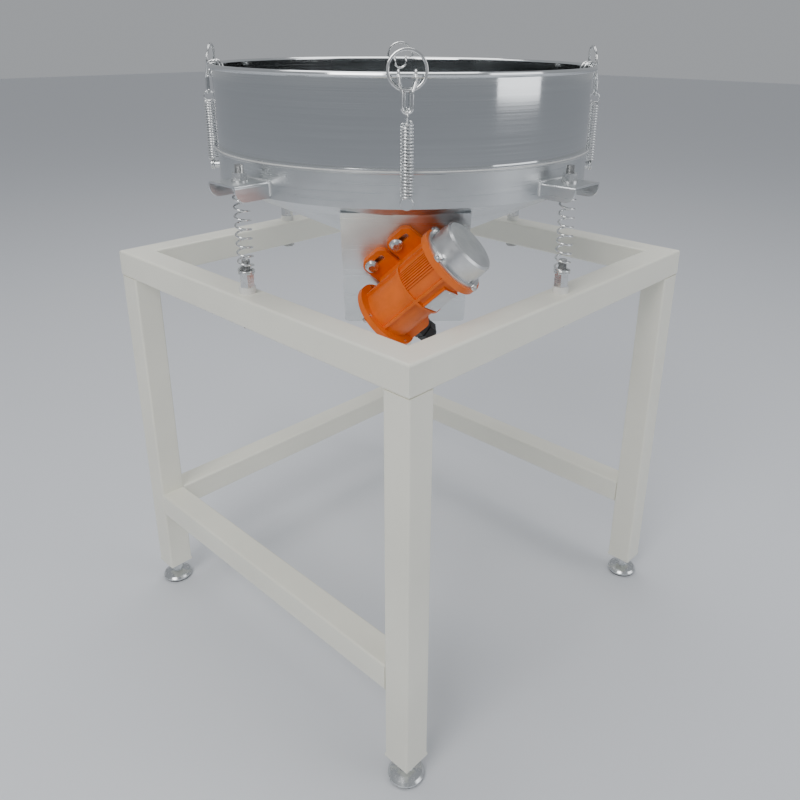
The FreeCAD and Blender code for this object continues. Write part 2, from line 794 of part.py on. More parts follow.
def motor_housing():
    """Cast body with flange, ribs, fins, slotted feet and terminal box, bored for the stator and bearings."""
    x0, x1 = cover_end(), flange_end()
    parts = housing_outside()
    parts += [long_rib(angle, mid_rib_radius, rib_thickness, x0, flange_start) for angle in rib_angles]
    for i in range(fin_count):
        angle = fin_first_deg - fin_pitch_deg * i
        parts.append(long_rib(angle, body_radius + fin_height, fin_width, mid_rib_x, flange_start))
    parts.append(long_rib(nameplate_angle, body_radius + 1.0, nameplate_width, nameplate_start,
                          nameplate_start + nameplate_length))
    parts.append(terminal_box())
    body = fused(parts)
    hollow = [motor_cylinder(body_bore, x0 - 1, bearing_left()),
              motor_cylinder(bearing_radius, bearing_left() - 1, bearing_left() + bearing_width + 1),
              motor_cylinder(body_bore, bearing_left() + bearing_width, x1 + 1)]
    hollow += [slot(x, s) for s in (-1, 1) for x in foot_bolt_x]
    hollow += [screw_hole(angle, x1 - cap_screw_length, x1 + 1) for angle in screw_angles()]
    hollow += [screw_hole(angle, x0 - 1, x0 + cap_screw_length - cover_thickness) for angle in screw_angles()]
    hollow.append(gland_cylinder(gland_radius + thread_clearance, -gland_thread - 1.0, 5.0))
    for tool in hollow:
        body = body.cut(tool)
    return body


def screw_angles():
    return [cap_screw_first_deg + 90.0 * i for i in range(4)]


def screw_hole(angle, x0, x1):
    return about_axis(screw_shank(cap_screw_radius + thread_clearance, x0, x1), angle)


def screw_shank(radius, x0, x1):
    return Part.makeCylinder(radius, x1 - x0, Vec(x0, motor_axis_y, motor_axis_z + cap_screw_circle), Vec(1, 0, 0))


def motor_end_cap():
    """Drawn cap over the weight, with a flange lobed round its screws."""
    x0 = flange_end()
    x1 = x0 + cap_length
    parts = [motor_cylinder(cap_flange_radius, x0, x0 + cap_flange),
             motor_cone(cap_base_radius, cap_end_radius, x0, x1 - cap_bevel),
             motor_cone(cap_end_radius, cap_end_radius - cap_bevel, x1 - cap_bevel, x1)]
    parts += [about_axis(screw_shank(cap_lobe_radius, x0, x0 + cap_flange), angle) for angle in screw_angles()]
    cap = fused(parts).cut(motor_cylinder(cap_end_radius - cap_wall - 0.5, x0 - 1, x1 - cap_wall))
    for angle in screw_angles():
        cap = cap.cut(screw_hole(angle, x0 - 1, x0 + cap_flange + 1))
    return cap


def motor_end_cover():
    """Round cast cover of the other end, its rim eased."""
    x0, x1 = cover_start, cover_end()
    plate = fused([motor_cylinder(flange_radius, x0 + cover_ease, x1),
                   motor_cone(flange_radius - cover_ease, flange_radius, x0, x0 + cover_ease)])
    for angle in screw_angles():
        plate = plate.cut(screw_hole(angle, x0 - 1, x1 + 1))
    return plate


def cap_screws():
    """Four screws through the cap's flange and four through the cover."""
    x1 = flange_end()
    screws = []
    for angle in screw_angles():
        seat = x1 + cap_flange
        screws.append(about_axis(fused([screw_shank(cap_screw_radius, x1 - cap_screw_length + 1.0, seat),
                                        screw_shank(cap_screw_head_radius, seat, seat + cap_screw_head)]), angle))
        end = cover_end() + cap_screw_length - cover_thickness - 0.5
        screws.append(about_axis(fused([screw_shank(cap_screw_radius, cover_start, end),
                                        screw_shank(cap_screw_head_radius, cover_start - cap_screw_head,
                                                    cover_start)]), angle))
    return group(screws)


def bearing_shield():
    return motor_cylinder(body_bore, bearing_right(), bearing_right() + bearing_width).cut(
        motor_cylinder(bearing_radius, bearing_right() - 1, bearing_right() + bearing_width + 1))


def motor_bearings():
    rings = []
    for x in (bearing_left(), bearing_right()):
        race = motor_cylinder(bearing_radius, x, x + bearing_width)
        race = race.cut(motor_cylinder(shaft_radius + running_gap, x - 1, x + bearing_width + 1))
        for face in (x, x + bearing_width - 1.0):
            groove = motor_cylinder(bearing_radius - 2.5, face, face + 1.0).cut(
                motor_cylinder(shaft_radius + 3.0, face, face + 1.0))
            race = race.cut(groove)
        rings.append(race)
    return group(rings)


def stator():
    """Core pressed into the housing, with the winding heads at both ends."""
    x0, x1 = core_start(), core_end()
    bore = rotor_radius + air_gap
    parts = [motor_cylinder(body_bore, x0, x1), motor_cylinder(winding_radius, x0 - winding_length,
                                                               x1 + winding_length)]
    return fused(parts).cut(motor_cylinder(bore, x0 - 20, x1 + 20))


def core_start():
    return bearing_left() + bearing_width + rotor_gap


def core_end():
    return bearing_right() - rotor_gap


def rotor_shaft():
    """Shaft with its shoulders and the rotor core."""
    shoulder_start = bearing_left() + bearing_width + 0.3
    shoulder_end = bearing_right() - 0.3
    return fused([motor_cylinder(shaft_radius, cover_end() + 1.5, flange_end() + weight_gap + weight_thickness + 2.0),
                  motor_cylinder(shoulder_radius, shoulder_start, shoulder_end),
                  motor_cylinder(rotor_radius, core_start(), core_end())])


def eccentric_weights():
    """Half discs on both shaft ends, on the same side."""
    weights = []
    for x in (cover_end() + weight_gap, flange_end() + weight_gap):
        half = motor_cylinder(weight_radius, x, x + weight_thickness)
        half = half.common(box(x - 1, x + weight_thickness + 1, motor_axis_y, motor_axis_y + weight_radius + 1,
                               motor_axis_z - weight_radius - 1, motor_axis_z + weight_radius + 1))
        disc = fused([half, motor_cylinder(weight_hub_radius, x, x + weight_thickness)])
        weights.append(disc.cut(motor_cylinder(shaft_radius, x - 1, x + weight_thickness + 1)))
    return group(weights)


def gland_cylinder(radius, out0, out1):
    """Cylinder on the gland's axis, measured out from the terminal box's face."""
    y = motor_axis_y - terminal_reach
    return Part.makeCylinder(radius, out1 - out0, Vec(gland_x, y - out0, motor_axis_z), Vec(0, -1, 0))


def gland_hex(flats, out0, out1):
    """Hexagon on the gland's axis with two flats square to the motor's axis."""
    prism = hexagon(flats, out0, out1)
    prism.rotate(Vec(0, 0, 0), Vec(0, 0, 1), 30)
    prism.rotate(Vec(0, 0, 0), Vec(1, 0, 0), 90)
    return moved(prism, gland_x, motor_axis_y - terminal_reach, motor_axis_z)


def cable_gland():
    """Threaded body, hexagon and dome nut, open for the cable."""
    nut_start = gland_hex_height + gland_groove
    dome_start = gland_length - gland_dome
    parts = [gland_cylinder(gland_radius, -gland_thread, dome_start),
             gland_hex(gland_hex_flats, 0, gland_hex_height),
             gland_hex(gland_hex_flats - 1.0, nut_start, nut_start + gland_nut_height)]
    at = Vec(gland_x, motor_axis_y - terminal_reach - dome_start, motor_axis_z)
    dome = Part.makeCone(gland_radius, gland_radius - gland_dome / 2.0, gland_dome, at, Vec(0, -1, 0))
    body = fused(parts + [dome]).cut(gland_cylinder(gland_bore, 0, gland_length + 1))
    return body.cut(gland_cylinder(gland_chamber, -gland_thread - 1, gland_seal_start))


def foot_bolts():
    """Flanged round-head bolts through the foot slots and the plate."""
    r, h = foot_bolt_head_radius, foot_bolt_head
    end = -plate_thickness - foot_nut_height - 2.0
    bolt = revolve([(0, end), (foot_bolt_radius, end), (foot_bolt_radius, foot_thickness), (r, foot_thickness),
                    (r, foot_thickness + 1.2), (r - 1.4, foot_thickness + 0.75 * h), (r - 3.5, foot_thickness + h),
                    (0, foot_thickness + h)])
    return group([moved(bolt, x, y, 0) for x, y in bolt_places()])


def foot_nuts():
    top = -plate_thickness
    nut = hexagon(foot_nut_flats, top - foot_nut_height, top)
    nut = nut.cut(cylinder(foot_bolt_radius + thread_clearance, top - foot_nut_height - 1, top + 1))
    return group([moved(nut, x, y, 0) for x, y in bolt_places()])


# ---- write every piece ----
def write_stand():
    for name, angle in CORNERS.items():
        save("leg_" + name, leg(angle))
    for name, angle in SIDES.items():
        save("top_rail_" + name, top_rail(angle))
        if name != "front":
            save("lower_rail_" + name, lower_rail(angle))
    save("leg_end_plates", group(at_corners(end_plate())))
    save("spring_sleeves", group(on_rails(sleeve())))
    save("lower_studs", group(on_rails(lower_stud())))
    nuts = nut_stack(frame_top + sleeve_height, True)
    save("lower_nuts", group([copy for nut in nuts for copy in on_rails(nut)]))


def write_feet():
    reach = tube_centre * math.sqrt(2.0)
    for name, angle in CORNERS.items():
        a = math.radians(angle)
        save("foot_cup_" + name, moved(foot_cup(), reach * math.cos(a), reach * math.sin(a), 0))
        save("foot_pad_" + name, moved(foot_pad(), reach * math.cos(a), reach * math.sin(a), 0))


def write_deck():
    save("pan_ring", pan_ring())
    save("pan_cone", pan_cone())
    save("outlet_spout", outlet_spout())
    save("spring_brackets", group(on_rails(spring_bracket())))
    save("upper_studs", group(on_rails(upper_stud())))
    save("upper_nuts", group([copy for nut in nut_stack(bracket_top, False) for copy in on_rails(nut)]))
    save("support_springs", group(on_rails(support_spring())))
    save("motor_plate", motor_plate())
    save("clip_pegs", group([turned(clip_peg(), angle) for angle in CORNERS.values()]))


def write_motor():
    pieces = {"motor_housing": motor_housing(), "motor_end_cap": motor_end_cap(),
              "motor_end_cover": motor_end_cover(), "cap_screws": cap_screws(), "bearing_shield": bearing_shield(),
              "motor_bearings": motor_bearings(), "stator": stator(), "rotor_shaft": rotor_shaft(),
              "eccentric_weights": eccentric_weights(), "cable_gland": cable_gland(), "foot_bolts": foot_bolts(),
              "foot_nuts": foot_nuts()}
    for name, shape in pieces.items():
        save(name, on_motor(shape))


def write_drum():
    save("drum_shell", drum_shell())
    save("screen_hoop", screen_hoop())
    save("screen_mesh", screen_mesh())
    save("screen_gasket", screen_gasket())
    for name, angle in CORNERS.items():
        save("clip_spring_" + name, turned(clip_spring(), angle))
        save("clip_hook_" + name, turned(clip_hook(), angle))
        save("pull_ring_" + name, turned(pull_ring(), angle))


def main():
    os.makedirs("parts", exist_ok=True)
    write_stand()
    write_feet()
    write_deck()
    write_motor()
    write_drum()


main()
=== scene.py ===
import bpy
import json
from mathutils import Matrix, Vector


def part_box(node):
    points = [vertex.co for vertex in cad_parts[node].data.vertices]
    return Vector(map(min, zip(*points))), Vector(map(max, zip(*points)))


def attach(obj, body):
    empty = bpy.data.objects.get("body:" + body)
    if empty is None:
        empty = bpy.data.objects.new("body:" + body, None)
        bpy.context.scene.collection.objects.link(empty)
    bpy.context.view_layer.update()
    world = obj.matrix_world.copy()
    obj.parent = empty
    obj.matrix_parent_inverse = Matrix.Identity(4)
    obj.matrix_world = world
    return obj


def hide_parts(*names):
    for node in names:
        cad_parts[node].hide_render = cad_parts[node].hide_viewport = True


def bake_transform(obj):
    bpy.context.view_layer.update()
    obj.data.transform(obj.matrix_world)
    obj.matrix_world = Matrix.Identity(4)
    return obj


bl_info = {
    "name": "Vibrating Sieve",
    "version": (1, 0, 0),
    "blender": (4, 5, 0),
    "location": "3D View > Sidebar > Sieve",
    "description": "Springs, clips, screen wires, welds, finishes and studio of a vibrating sieve",
    "category": "Object",
}

import json
import math
import bmesh
import bpy
from bpy.props import FloatProperty, FloatVectorProperty, PointerProperty
from mathutils import Matrix, Vector

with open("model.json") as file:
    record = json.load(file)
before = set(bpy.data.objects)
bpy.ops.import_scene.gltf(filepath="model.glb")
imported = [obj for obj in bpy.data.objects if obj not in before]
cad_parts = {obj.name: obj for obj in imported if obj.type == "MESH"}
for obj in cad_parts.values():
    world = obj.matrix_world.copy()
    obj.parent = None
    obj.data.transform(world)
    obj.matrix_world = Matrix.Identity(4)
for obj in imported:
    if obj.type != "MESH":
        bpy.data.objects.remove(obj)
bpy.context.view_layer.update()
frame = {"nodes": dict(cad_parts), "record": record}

CORNERS = {"front_left": 225.0, "front_right": 315.0, "rear_right": 45.0, "rear_left": 135.0}
FRAME_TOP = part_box("top_rail_front")[1].z
MOTOR_LEAN = math.radians(18.0)
MOTOR_TURN = math.radians(46.5)
PLATE_TOP = Vector((-0.180 / math.sqrt(2), -0.180 / math.sqrt(2), FRAME_TOP + 0.0848))
MOTOR_AXIS_Y = -0.0475
MOTOR_AXIS_Z = 0.0377


# ---------------------------------------------------------------- sizes and colours a user would change
class SieveWires(bpy.types.PropertyGroup):
    """Sizes of the springs, clips and screen."""
    support_wire: FloatProperty(name="Support spring wire", default=0.0020, unit="LENGTH",
                                description="Wire thickness of the support springs")
    support_turns: FloatProperty(name="Support spring turns", description="Open turns of a support spring",
                                 default=9.5)
    clip_wire: FloatProperty(name="Clip spring wire", description="Wire thickness of the clip springs",
                             default=0.0017, unit="LENGTH")
    clip_turns: FloatProperty(name="Clip spring turns", description="Turns of a clip spring", default=22.0)
    hook_wire: FloatProperty(name="Hook wire", description="Wire thickness of the hooks", default=0.0026,
                             unit="LENGTH")
    mesh_pitch: FloatProperty(name="Screen pitch", description="Distance between the wires of the screen",
                              default=0.0025, unit="LENGTH")
    mesh_wire: FloatProperty(name="Screen wire", description="Wire thickness of the screen", default=0.0006,
                             unit="LENGTH")
    thread_pitch: FloatProperty(name="Thread pitch", description="Distance between turns of the stud threads",
                                default=0.00125, unit="LENGTH")


class SieveFinishes(bpy.types.PropertyGroup):
    """Colours of the finishes."""
    paint: FloatVectorProperty(name="Stand paint", description="Colour of the painted stand", subtype="COLOR",
                               size=3, min=0, max=1, default=(0.88, 0.87, 0.77))
    motor: FloatVectorProperty(name="Motor paint", description="Colour of the motor housing", subtype="COLOR",
                               size=3, min=0, max=1, default=(0.80, 0.15, 0.005))
    steel: FloatVectorProperty(name="Stainless", description="Tint of the stainless sheet", subtype="COLOR",
                               size=3, min=0, max=1, default=(0.72, 0.74, 0.75))
    floor: FloatVectorProperty(name="Floor", description="Colour of the floor", subtype="COLOR",
                               size=3, min=0, max=1, default=(0.72, 0.74, 0.78))


# ---------------------------------------------------------------- shader building
def start_material(name):
    """A new node material, its tree and its Principled shader."""
    material = bpy.data.materials.new(name)
    material.use_nodes = True
    return material, material.node_tree, material.node_tree.nodes["Principled BSDF"]


def add(tree, kind, **values):
    """A node with its properties and inputs set by name; inputs use double underscores for spaces."""
    made = tree.nodes.new(kind)
    for key, value in values.items():
        label = key.replace("__", " ")
        if label in made.inputs:
            made.inputs[label].default_value = value
        else:
            setattr(made, key, value)
    return made


def place(tree, scale=(1, 1, 1)):
    """Object coordinates, scaled, in metres."""
    coordinate = add(tree, "ShaderNodeTexCoord")
    mapping = add(tree, "ShaderNodeMapping")
    mapping.inputs["Scale"].default_value = scale
    tree.links.new(coordinate.outputs["Object"], mapping.inputs["Vector"])
    return mapping.outputs["Vector"]


def noise(tree, vector, scale, detail=2.0, roughness=0.5):
    """A noise factor over the given coordinates."""
    made = add(tree, "ShaderNodeTexNoise", Scale=scale, Detail=detail, Roughness=roughness)
    tree.links.new(vector, made.inputs["Vector"])
    return made.outputs["Fac"]


def ramp(tree, value, low, high, start=0.3, end=0.7):
    """Maps a factor onto a range of values."""
    made = add(tree, "ShaderNodeMapRange")
    for label, number in (("From Min", start), ("From Max", end), ("To Min", low), ("To Max", high)):
        made.inputs[label].default_value = number
    tree.links.new(value, made.inputs["Value"])
    return made.outputs["Result"]


def mixed(tree, factor, dark, light):
    """A colour between two, by a factor."""
    made = add(tree, "ShaderNodeMix", data_type="RGBA")
    colours = [s for s in made.inputs if s.type == "RGBA"]
    colours[0].default_value = (*dark, 1)
    colours[1].default_value = (*light, 1)
    tree.links.new(factor, made.inputs["Factor"])
    return [s for s in made.outputs if s.type == "RGBA"][0]


def bump(tree, shader, height, strength, distance):
    """Surface relief from a height, at a distance in metres."""
    made = add(tree, "ShaderNodeBump", Strength=strength, Distance=distance)
    tree.links.new(height, made.inputs["Height"])
    tree.links.new(made.outputs["Normal"], shader.inputs["Normal"])


def scaled(colour, factor):
    """A colour made darker or lighter."""
    return tuple(min(1.0, c * factor) for c in colour)


# ---------------------------------------------------------------- finishes
def frame_paint(name, colour):
    """Semi-gloss sprayed paint with a faint orange peel and slightly uneven tone."""
    material, tree, shader = start_material(name)
    where = place(tree)
    tone = ramp(tree, noise(tree, where, 9.0, 3.0), 0.0, 1.0)
    paint = mixed(tree, tone, scaled(colour, 0.955), scaled(colour, 1.02))
    tree.links.new(paint, shader.inputs["Base Color"])
    tree.links.new(ramp(tree, noise(tree, where, 60.0), 0.32, 0.44), shader.inputs["Roughness"])
    bump(tree, shader, noise(tree, where, 700.0, 1.0), 0.12, 0.0002)
    shader.inputs["Coat Weight"].default_value = 0.25
    shader.inputs["Coat Roughness"].default_value = 0.2
    return material


def polished_sheet(name, colour, rough=(0.06, 0.13)):
    """Polished rolled sheet: near mirror, with fine lines round it and slow waves."""
    material, tree, shader = start_material(name)
    lines = noise(tree, place(tree, (4.0, 4.0, 900.0)), 1.0, 3.0)
    waves = noise(tree, place(tree, (9.0, 9.0, 3.0)), 1.0, 2.0)
    shader.inputs["Metallic"].default_value = 1.0
    sheen = mixed(tree, ramp(tree, lines, 0.0, 1.0), scaled(colour, 0.94), colour)
    tree.links.new(sheen, shader.inputs["Base Color"])
    tree.links.new(ramp(tree, lines, rough[0], rough[1]), shader.inputs["Roughness"])
    bump(tree, shader, waves, 0.10, 0.0015)
    return material


def satin_sheet(name, colour, rough=(0.26, 0.36), grain=(6.0, 6.0, 700.0)):
    """Satin stainless with a directional grain and small handling marks."""
    material, tree, shader = start_material(name)
    lines = noise(tree, place(tree, grain), 1.0, 4.0)
    marks = noise(tree, place(tree), 22.0, 4.0)
    shader.inputs["Metallic"].default_value = 1.0
    tree.links.new(mixed(tree, ramp(tree, marks, 0.0, 1.0), scaled(colour, 0.90), scaled(colour, 1.03)),
                   shader.inputs["Base Color"])
    tree.links.new(ramp(tree, lines, rough[0], rough[1]), shader.inputs["Roughness"])
    bump(tree, shader, lines, 0.06, 0.0003)
    return material


def cast_paint(name, colour):
    """Thick paint over a sand casting: small pits, and a tone darkened in random patches, painted shade meant
    for the hollows but placed by noise.
    """
    material, tree, shader = start_material(name)
    where = place(tree)
    # painted shade: random noise patches darken the paint to 0.80 of its colour, in place of shade in the
    # casting's hollows
    tone = ramp(tree, noise(tree, where, 45.0, 5.0, 0.6), 0.0, 1.0)
    tree.links.new(mixed(tree, tone, scaled(colour, 0.80), scaled(colour, 1.04)), shader.inputs["Base Color"])
    tree.links.new(ramp(tree, noise(tree, where, 120.0, 3.0), 0.30, 0.48), shader.inputs["Roughness"])
    bump(tree, shader, noise(tree, where, 420.0, 3.0, 0.55), 0.35, 0.0004)
    return material


def cast_metal(name, colour, rough=(0.28, 0.42)):
    """Bare cast or drawn aluminium with a soft mottled skin."""
    material, tree, shader = start_material(name)
    where = place(tree)
    shader.inputs["Metallic"].default_value = 1.0
    tone = ramp(tree, noise(tree, where, 60.0, 4.0), 0.0, 1.0)
    tree.links.new(mixed(tree, tone, scaled(colour, 0.86), scaled(colour, 1.03)), shader.inputs["Base Color"])
    tree.links.new(ramp(tree, noise(tree, where, 150.0, 3.0), rough[0], rough[1]), shader.inputs["Roughness"])
    bump(tree, shader, noise(tree, where, 600.0, 2.0), 0.10, 0.0002)
    return material


def bright_metal(name, colour, rough=(0.10, 0.22)):
    """Plated or drawn wire and fasteners, with a slight uneven shine."""
    material, tree, shader = start_material(name)
    where = place(tree)
    shader.inputs["Metallic"].default_value = 1.0
    tone = ramp(tree, noise(tree, where, 140.0, 3.0), 0.0, 1.0)
    tree.links.new(mixed(tree, tone, scaled(colour, 0.88), colour), shader.inputs["Base Color"])
    tree.links.new(ramp(tree, noise(tree, where, 300.0, 2.0), rough[0], rough[1]), shader.inputs["Roughness"])
    return material


def moulded(name, colour, rough=(0.35, 0.5), grain=0.15):
    """Moulded plastic, rubber or silicone with a fine grain."""
    material, tree, shader = start_material(name)
    where = place(tree)
    tone = ramp(tree, noise(tree, where, 80.0, 3.0), 0.0, 1.0)
    tree.links.new(mixed(tree, tone, scaled(colour, 0.85), scaled(colour, 1.05)), shader.inputs["Base Color"])
    tree.links.new(ramp(tree, noise(tree, where, 200.0), rough[0], rough[1]), shader.inputs["Roughness"])
    bump(tree, shader, noise(tree, where, 900.0, 2.0), grain, 0.0002)
    return material


def finishes():
    """Every finish by name, with the record's slot that it shows."""
    look = bpy.context.scene.sieve_finishes
    steel = tuple(look.steel)
    return {
        "cream_paint": frame_paint("cream_paint", tuple(look.paint)),
        "white_plastic": moulded("white_plastic", (0.80, 0.80, 0.77), (0.30, 0.40), 0.05),
        "zinc_steel": bright_metal("zinc_steel", (0.74, 0.75, 0.75), (0.16, 0.32)),
        "satin_stainless": satin_sheet("satin_stainless", steel),
        "polished_stainless": polished_sheet("polished_stainless", steel),
        "spring_steel": bright_metal("spring_steel", (0.74, 0.75, 0.75), (0.10, 0.20)),
        "orange_paint": cast_paint("orange_paint", tuple(look.motor)),
        "bare_aluminium": cast_metal("bare_aluminium", (0.70, 0.71, 0.72)),
        "cast_iron_grey": cast_metal("cast_iron_grey", (0.25, 0.25, 0.26), (0.45, 0.60)),
        "bearing_steel": bright_metal("bearing_steel", (0.65, 0.65, 0.66)),
        "core_steel": satin_sheet("core_steel", (0.42, 0.36, 0.30), (0.35, 0.5), (900.0, 6.0, 6.0)),
        "dark_steel": satin_sheet("dark_steel", (0.40, 0.40, 0.41), (0.30, 0.45)),
        "black_plastic": moulded("black_plastic", (0.012, 0.012, 0.013), (0.32, 0.48)),
        "mesh_wire": bright_metal("mesh_wire", (0.62, 0.63, 0.63), (0.20, 0.35)),
        "white_silicone": moulded("white_silicone", (0.74, 0.74, 0.72), (0.45, 0.6)),
        "foot_stainless": satin_sheet("foot_stainless", scaled(steel, 0.98), (0.16, 0.30),
                                      (300.0, 300.0, 6.0)),
        "black_rubber": moulded("black_rubber", (0.018, 0.018, 0.018), (0.6, 0.8), 0.3),
    }


# ---------------------------------------------------------------- geometry trees
def new_tree(name, sockets):
    """A geometry tree with named inputs, ending in Realize Instances and Set Material."""
    tree = bpy.data.node_groups.new(name, "GeometryNodeTree")
    tree.interface.new_socket("Geometry", in_out="INPUT", socket_type="NodeSocketGeometry")
    for label, kind in sockets:
        tree.interface.new_socket(label, in_out="INPUT", socket_type=kind)
    tree.interface.new_socket("Material", in_out="INPUT", socket_type="NodeSocketMaterial")
    tree.interface.new_socket("Geometry", in_out="OUTPUT", socket_type="NodeSocketGeometry")
    return tree, tree.nodes.new("NodeGroupInput")


def finish_tree(tree, entry, geometry):
    """Realizes the geometry, gives it its material and leads it out."""
    realize = tree.nodes.new("GeometryNodeRealizeInstances")
    paint = tree.nodes.new("GeometryNodeSetMaterial")
    leave = tree.nodes.new("NodeGroupOutput")
    tree.links.new(geometry, realize.inputs["Geometry"])
    tree.links.new(realize.outputs["Geometry"], paint.inputs["Geometry"])
    tree.links.new(entry.outputs["Material"], paint.inputs["Material"])
    tree.links.new(paint.outputs["Geometry"], leave.inputs["Geometry"])
    return tree


def coil_tree():
    """Round wire wound about Z, with an optional closed turn at each end, standing on its start height."""
    numbers = [("Radius", "NodeSocketFloat"), ("Base", "NodeSocketFloat"), ("Height", "NodeSocketFloat"),
               ("Turns", "NodeSocketFloat"), ("Wire", "NodeSocketFloat"), ("Flatness", "NodeSocketFloat"),
               ("Closed Ends", "NodeSocketBool")]
    tree, entry = new_tree("wound_wire", numbers)
    link = tree.links.new
    spiral = tree.nodes.new("GeometryNodeCurveSpiral")
    spiral.inputs["Resolution"].default_value = 28
    link(entry.outputs["Turns"], spiral.inputs["Rotations"])
    link(entry.outputs["Radius"], spiral.inputs["Start Radius"])
    link(entry.outputs["Radius"], spiral.inputs["End Radius"])
    link(entry.outputs["Height"], spiral.inputs["Height"])
    low = tree.nodes.new("GeometryNodeCurvePrimitiveCircle")
    low.inputs["Resolution"].default_value = 36
    link(entry.outputs["Radius"], low.inputs["Radius"])
    lift = tree.nodes.new("ShaderNodeCombineXYZ")
    link(entry.outputs["Height"], lift.inputs["Z"])
    high = tree.nodes.new("GeometryNodeTransform")
    link(low.outputs["Curve"], high.inputs["Geometry"])
    link(lift.outputs["Vector"], high.inputs["Translation"])
    ends = tree.nodes.new("GeometryNodeJoinGeometry")
    link(low.outputs["Curve"], ends.inputs["Geometry"])
    link(high.outputs["Geometry"], ends.inputs["Geometry"])
    switch = tree.nodes.new("GeometryNodeSwitch")
    link(entry.outputs["Closed Ends"], switch.inputs["Switch"])
    link(ends.outputs["Geometry"], switch.inputs["True"])
    wires = tree.nodes.new("GeometryNodeJoinGeometry")
    link(spiral.outputs["Curve"], wires.inputs["Geometry"])
    link(switch.outputs["Output"], wires.inputs["Geometry"])
    profile = tree.nodes.new("GeometryNodeCurvePrimitiveCircle")
    profile.inputs["Resolution"].default_value = 12
    half = tree.nodes.new("ShaderNodeMath")
    half.operation = "DIVIDE"
    half.inputs[1].default_value = 2.0
    link(entry.outputs["Wire"], half.inputs[0])
    link(half.outputs["Value"], profile.inputs["Radius"])
    flat = tree.nodes.new("ShaderNodeCombineXYZ")
    flat.inputs["X"].default_value = 1.0
    flat.inputs["Z"].default_value = 1.0
    link(entry.outputs["Flatness"], flat.inputs["Y"])
    squash = tree.nodes.new("GeometryNodeTransform")
    link(profile.outputs["Curve"], squash.inputs["Geometry"])
    link(flat.outputs["Vector"], squash.inputs["Scale"])
    skin = tree.nodes.new("GeometryNodeCurveToMesh")
    skin.inputs["Fill Caps"].default_value = True
    link(wires.outputs["Geometry"], skin.inputs["Curve"])
    link(squash.outputs["Geometry"], skin.inputs["Profile Curve"])
    smooth = tree.nodes.new("GeometryNodeSetShadeSmooth")
    link(skin.outputs["Mesh"], smooth.inputs["Geometry"])
    base = tree.nodes.new("ShaderNodeCombineXYZ")
    link(entry.outputs["Base"], base.inputs["Z"])
    stand = tree.nodes.new("GeometryNodeTransform")
    link(smooth.outputs["Geometry"], stand.inputs["Geometry"])
    link(base.outputs["Vector"], stand.inputs["Translation"])
    return finish_tree(tree, entry, stand.outputs["Geometry"])


def screen_tree():
    """Straight wires across a round hoop: one layer each way, each wire cut to the hoop's chord."""
    numbers = [("Radius", "NodeSocketFloat"), ("Pitch", "NodeSocketFloat"), ("Wire", "NodeSocketFloat"),
               ("Height", "NodeSocketFloat")]
    tree, entry = new_tree("screen_wires", numbers)
    link = tree.links.new

    def math_node(operation, first, second=None):
        made = tree.nodes.new("ShaderNodeMath")
        made.operation = operation
        for slot, value in ((0, first), (1, second)):
            if isinstance(value, (int, float)):
                made.inputs[slot].default_value = value
            elif value is not None:
                link(value, made.inputs[slot])
        return made.outputs["Value"]

    radius, pitch, wire = (entry.outputs[n] for n in ("Radius", "Pitch", "Wire"))
    reach = math_node("SUBTRACT", radius, pitch)
    count = math_node("DIVIDE", math_node("MULTIPLY", reach, 2.0), pitch)
    line = tree.nodes.new("GeometryNodeMeshLine")
    line.mode = "END_POINTS"
    link(math_node("ROUND", count), line.inputs["Count"])
    start = tree.nodes.new("ShaderNodeCombineXYZ")
    stop = tree.nodes.new("ShaderNodeCombineXYZ")
    link(math_node("MULTIPLY", reach, -1.0), start.inputs["X"])
    link(reach, stop.inputs["X"])
    link(start.outputs["Vector"], line.inputs["Start Location"])
    link(stop.outputs["Vector"], line.inputs["Offset"])
    where = tree.nodes.new("GeometryNodeInputPosition")
    split = tree.nodes.new("ShaderNodeSeparateXYZ")
    link(where.outputs["Position"], split.inputs["Vector"])
    across = math_node("MULTIPLY", split.outputs["X"], split.outputs["X"])
    chord = math_node("SQRT", math_node("SUBTRACT", math_node("MULTIPLY", radius, radius), across))
    size = tree.nodes.new("ShaderNodeCombineXYZ")
    size.inputs["X"].default_value = 1.0
    size.inputs["Z"].default_value = 1.0
    link(chord, size.inputs["Y"])
    bar = tree.nodes.new("GeometryNodeMeshCube")
    extent = tree.nodes.new("ShaderNodeCombineXYZ")
    extent.inputs["Y"].default_value = 2.0
    link(wire, extent.inputs["X"])
    link(wire, extent.inputs["Z"])
    link(extent.outputs["Vector"], bar.inputs["Size"])
    spread = tree.nodes.new("GeometryNodeInstanceOnPoints")
    link(line.outputs["Mesh"], spread.inputs["Points"])
    link(bar.outputs["Mesh"], spread.inputs["Instance"])
    link(size.outputs["Vector"], spread.inputs["Scale"])
    upper = tree.nodes.new("GeometryNodeTransform")
    upper.inputs["Rotation"].default_value = (0, 0, math.pi / 2)
    rise = tree.nodes.new("ShaderNodeCombineXYZ")
    link(math_node("MULTIPLY", wire, 0.45), rise.inputs["Z"])
    link(spread.outputs["Instances"], upper.inputs["Geometry"])
    link(rise.outputs["Vector"], upper.inputs["Translation"])
    both = tree.nodes.new("GeometryNodeJoinGeometry")
    link(spread.outputs["Instances"], both.inputs["Geometry"])
    link(upper.outputs["Geometry"], both.inputs["Geometry"])
    base = tree.nodes.new("ShaderNodeCombineXYZ")
    link(entry.outputs["Height"], base.inputs["Z"])
    level = tree.nodes.new("GeometryNodeTransform")
    link(both.outputs["Geometry"], level.inputs["Geometry"])
    link(base.outputs["Vector"], level.inputs["Translation"])
    return finish_tree(tree, entry, level.outputs["Geometry"])


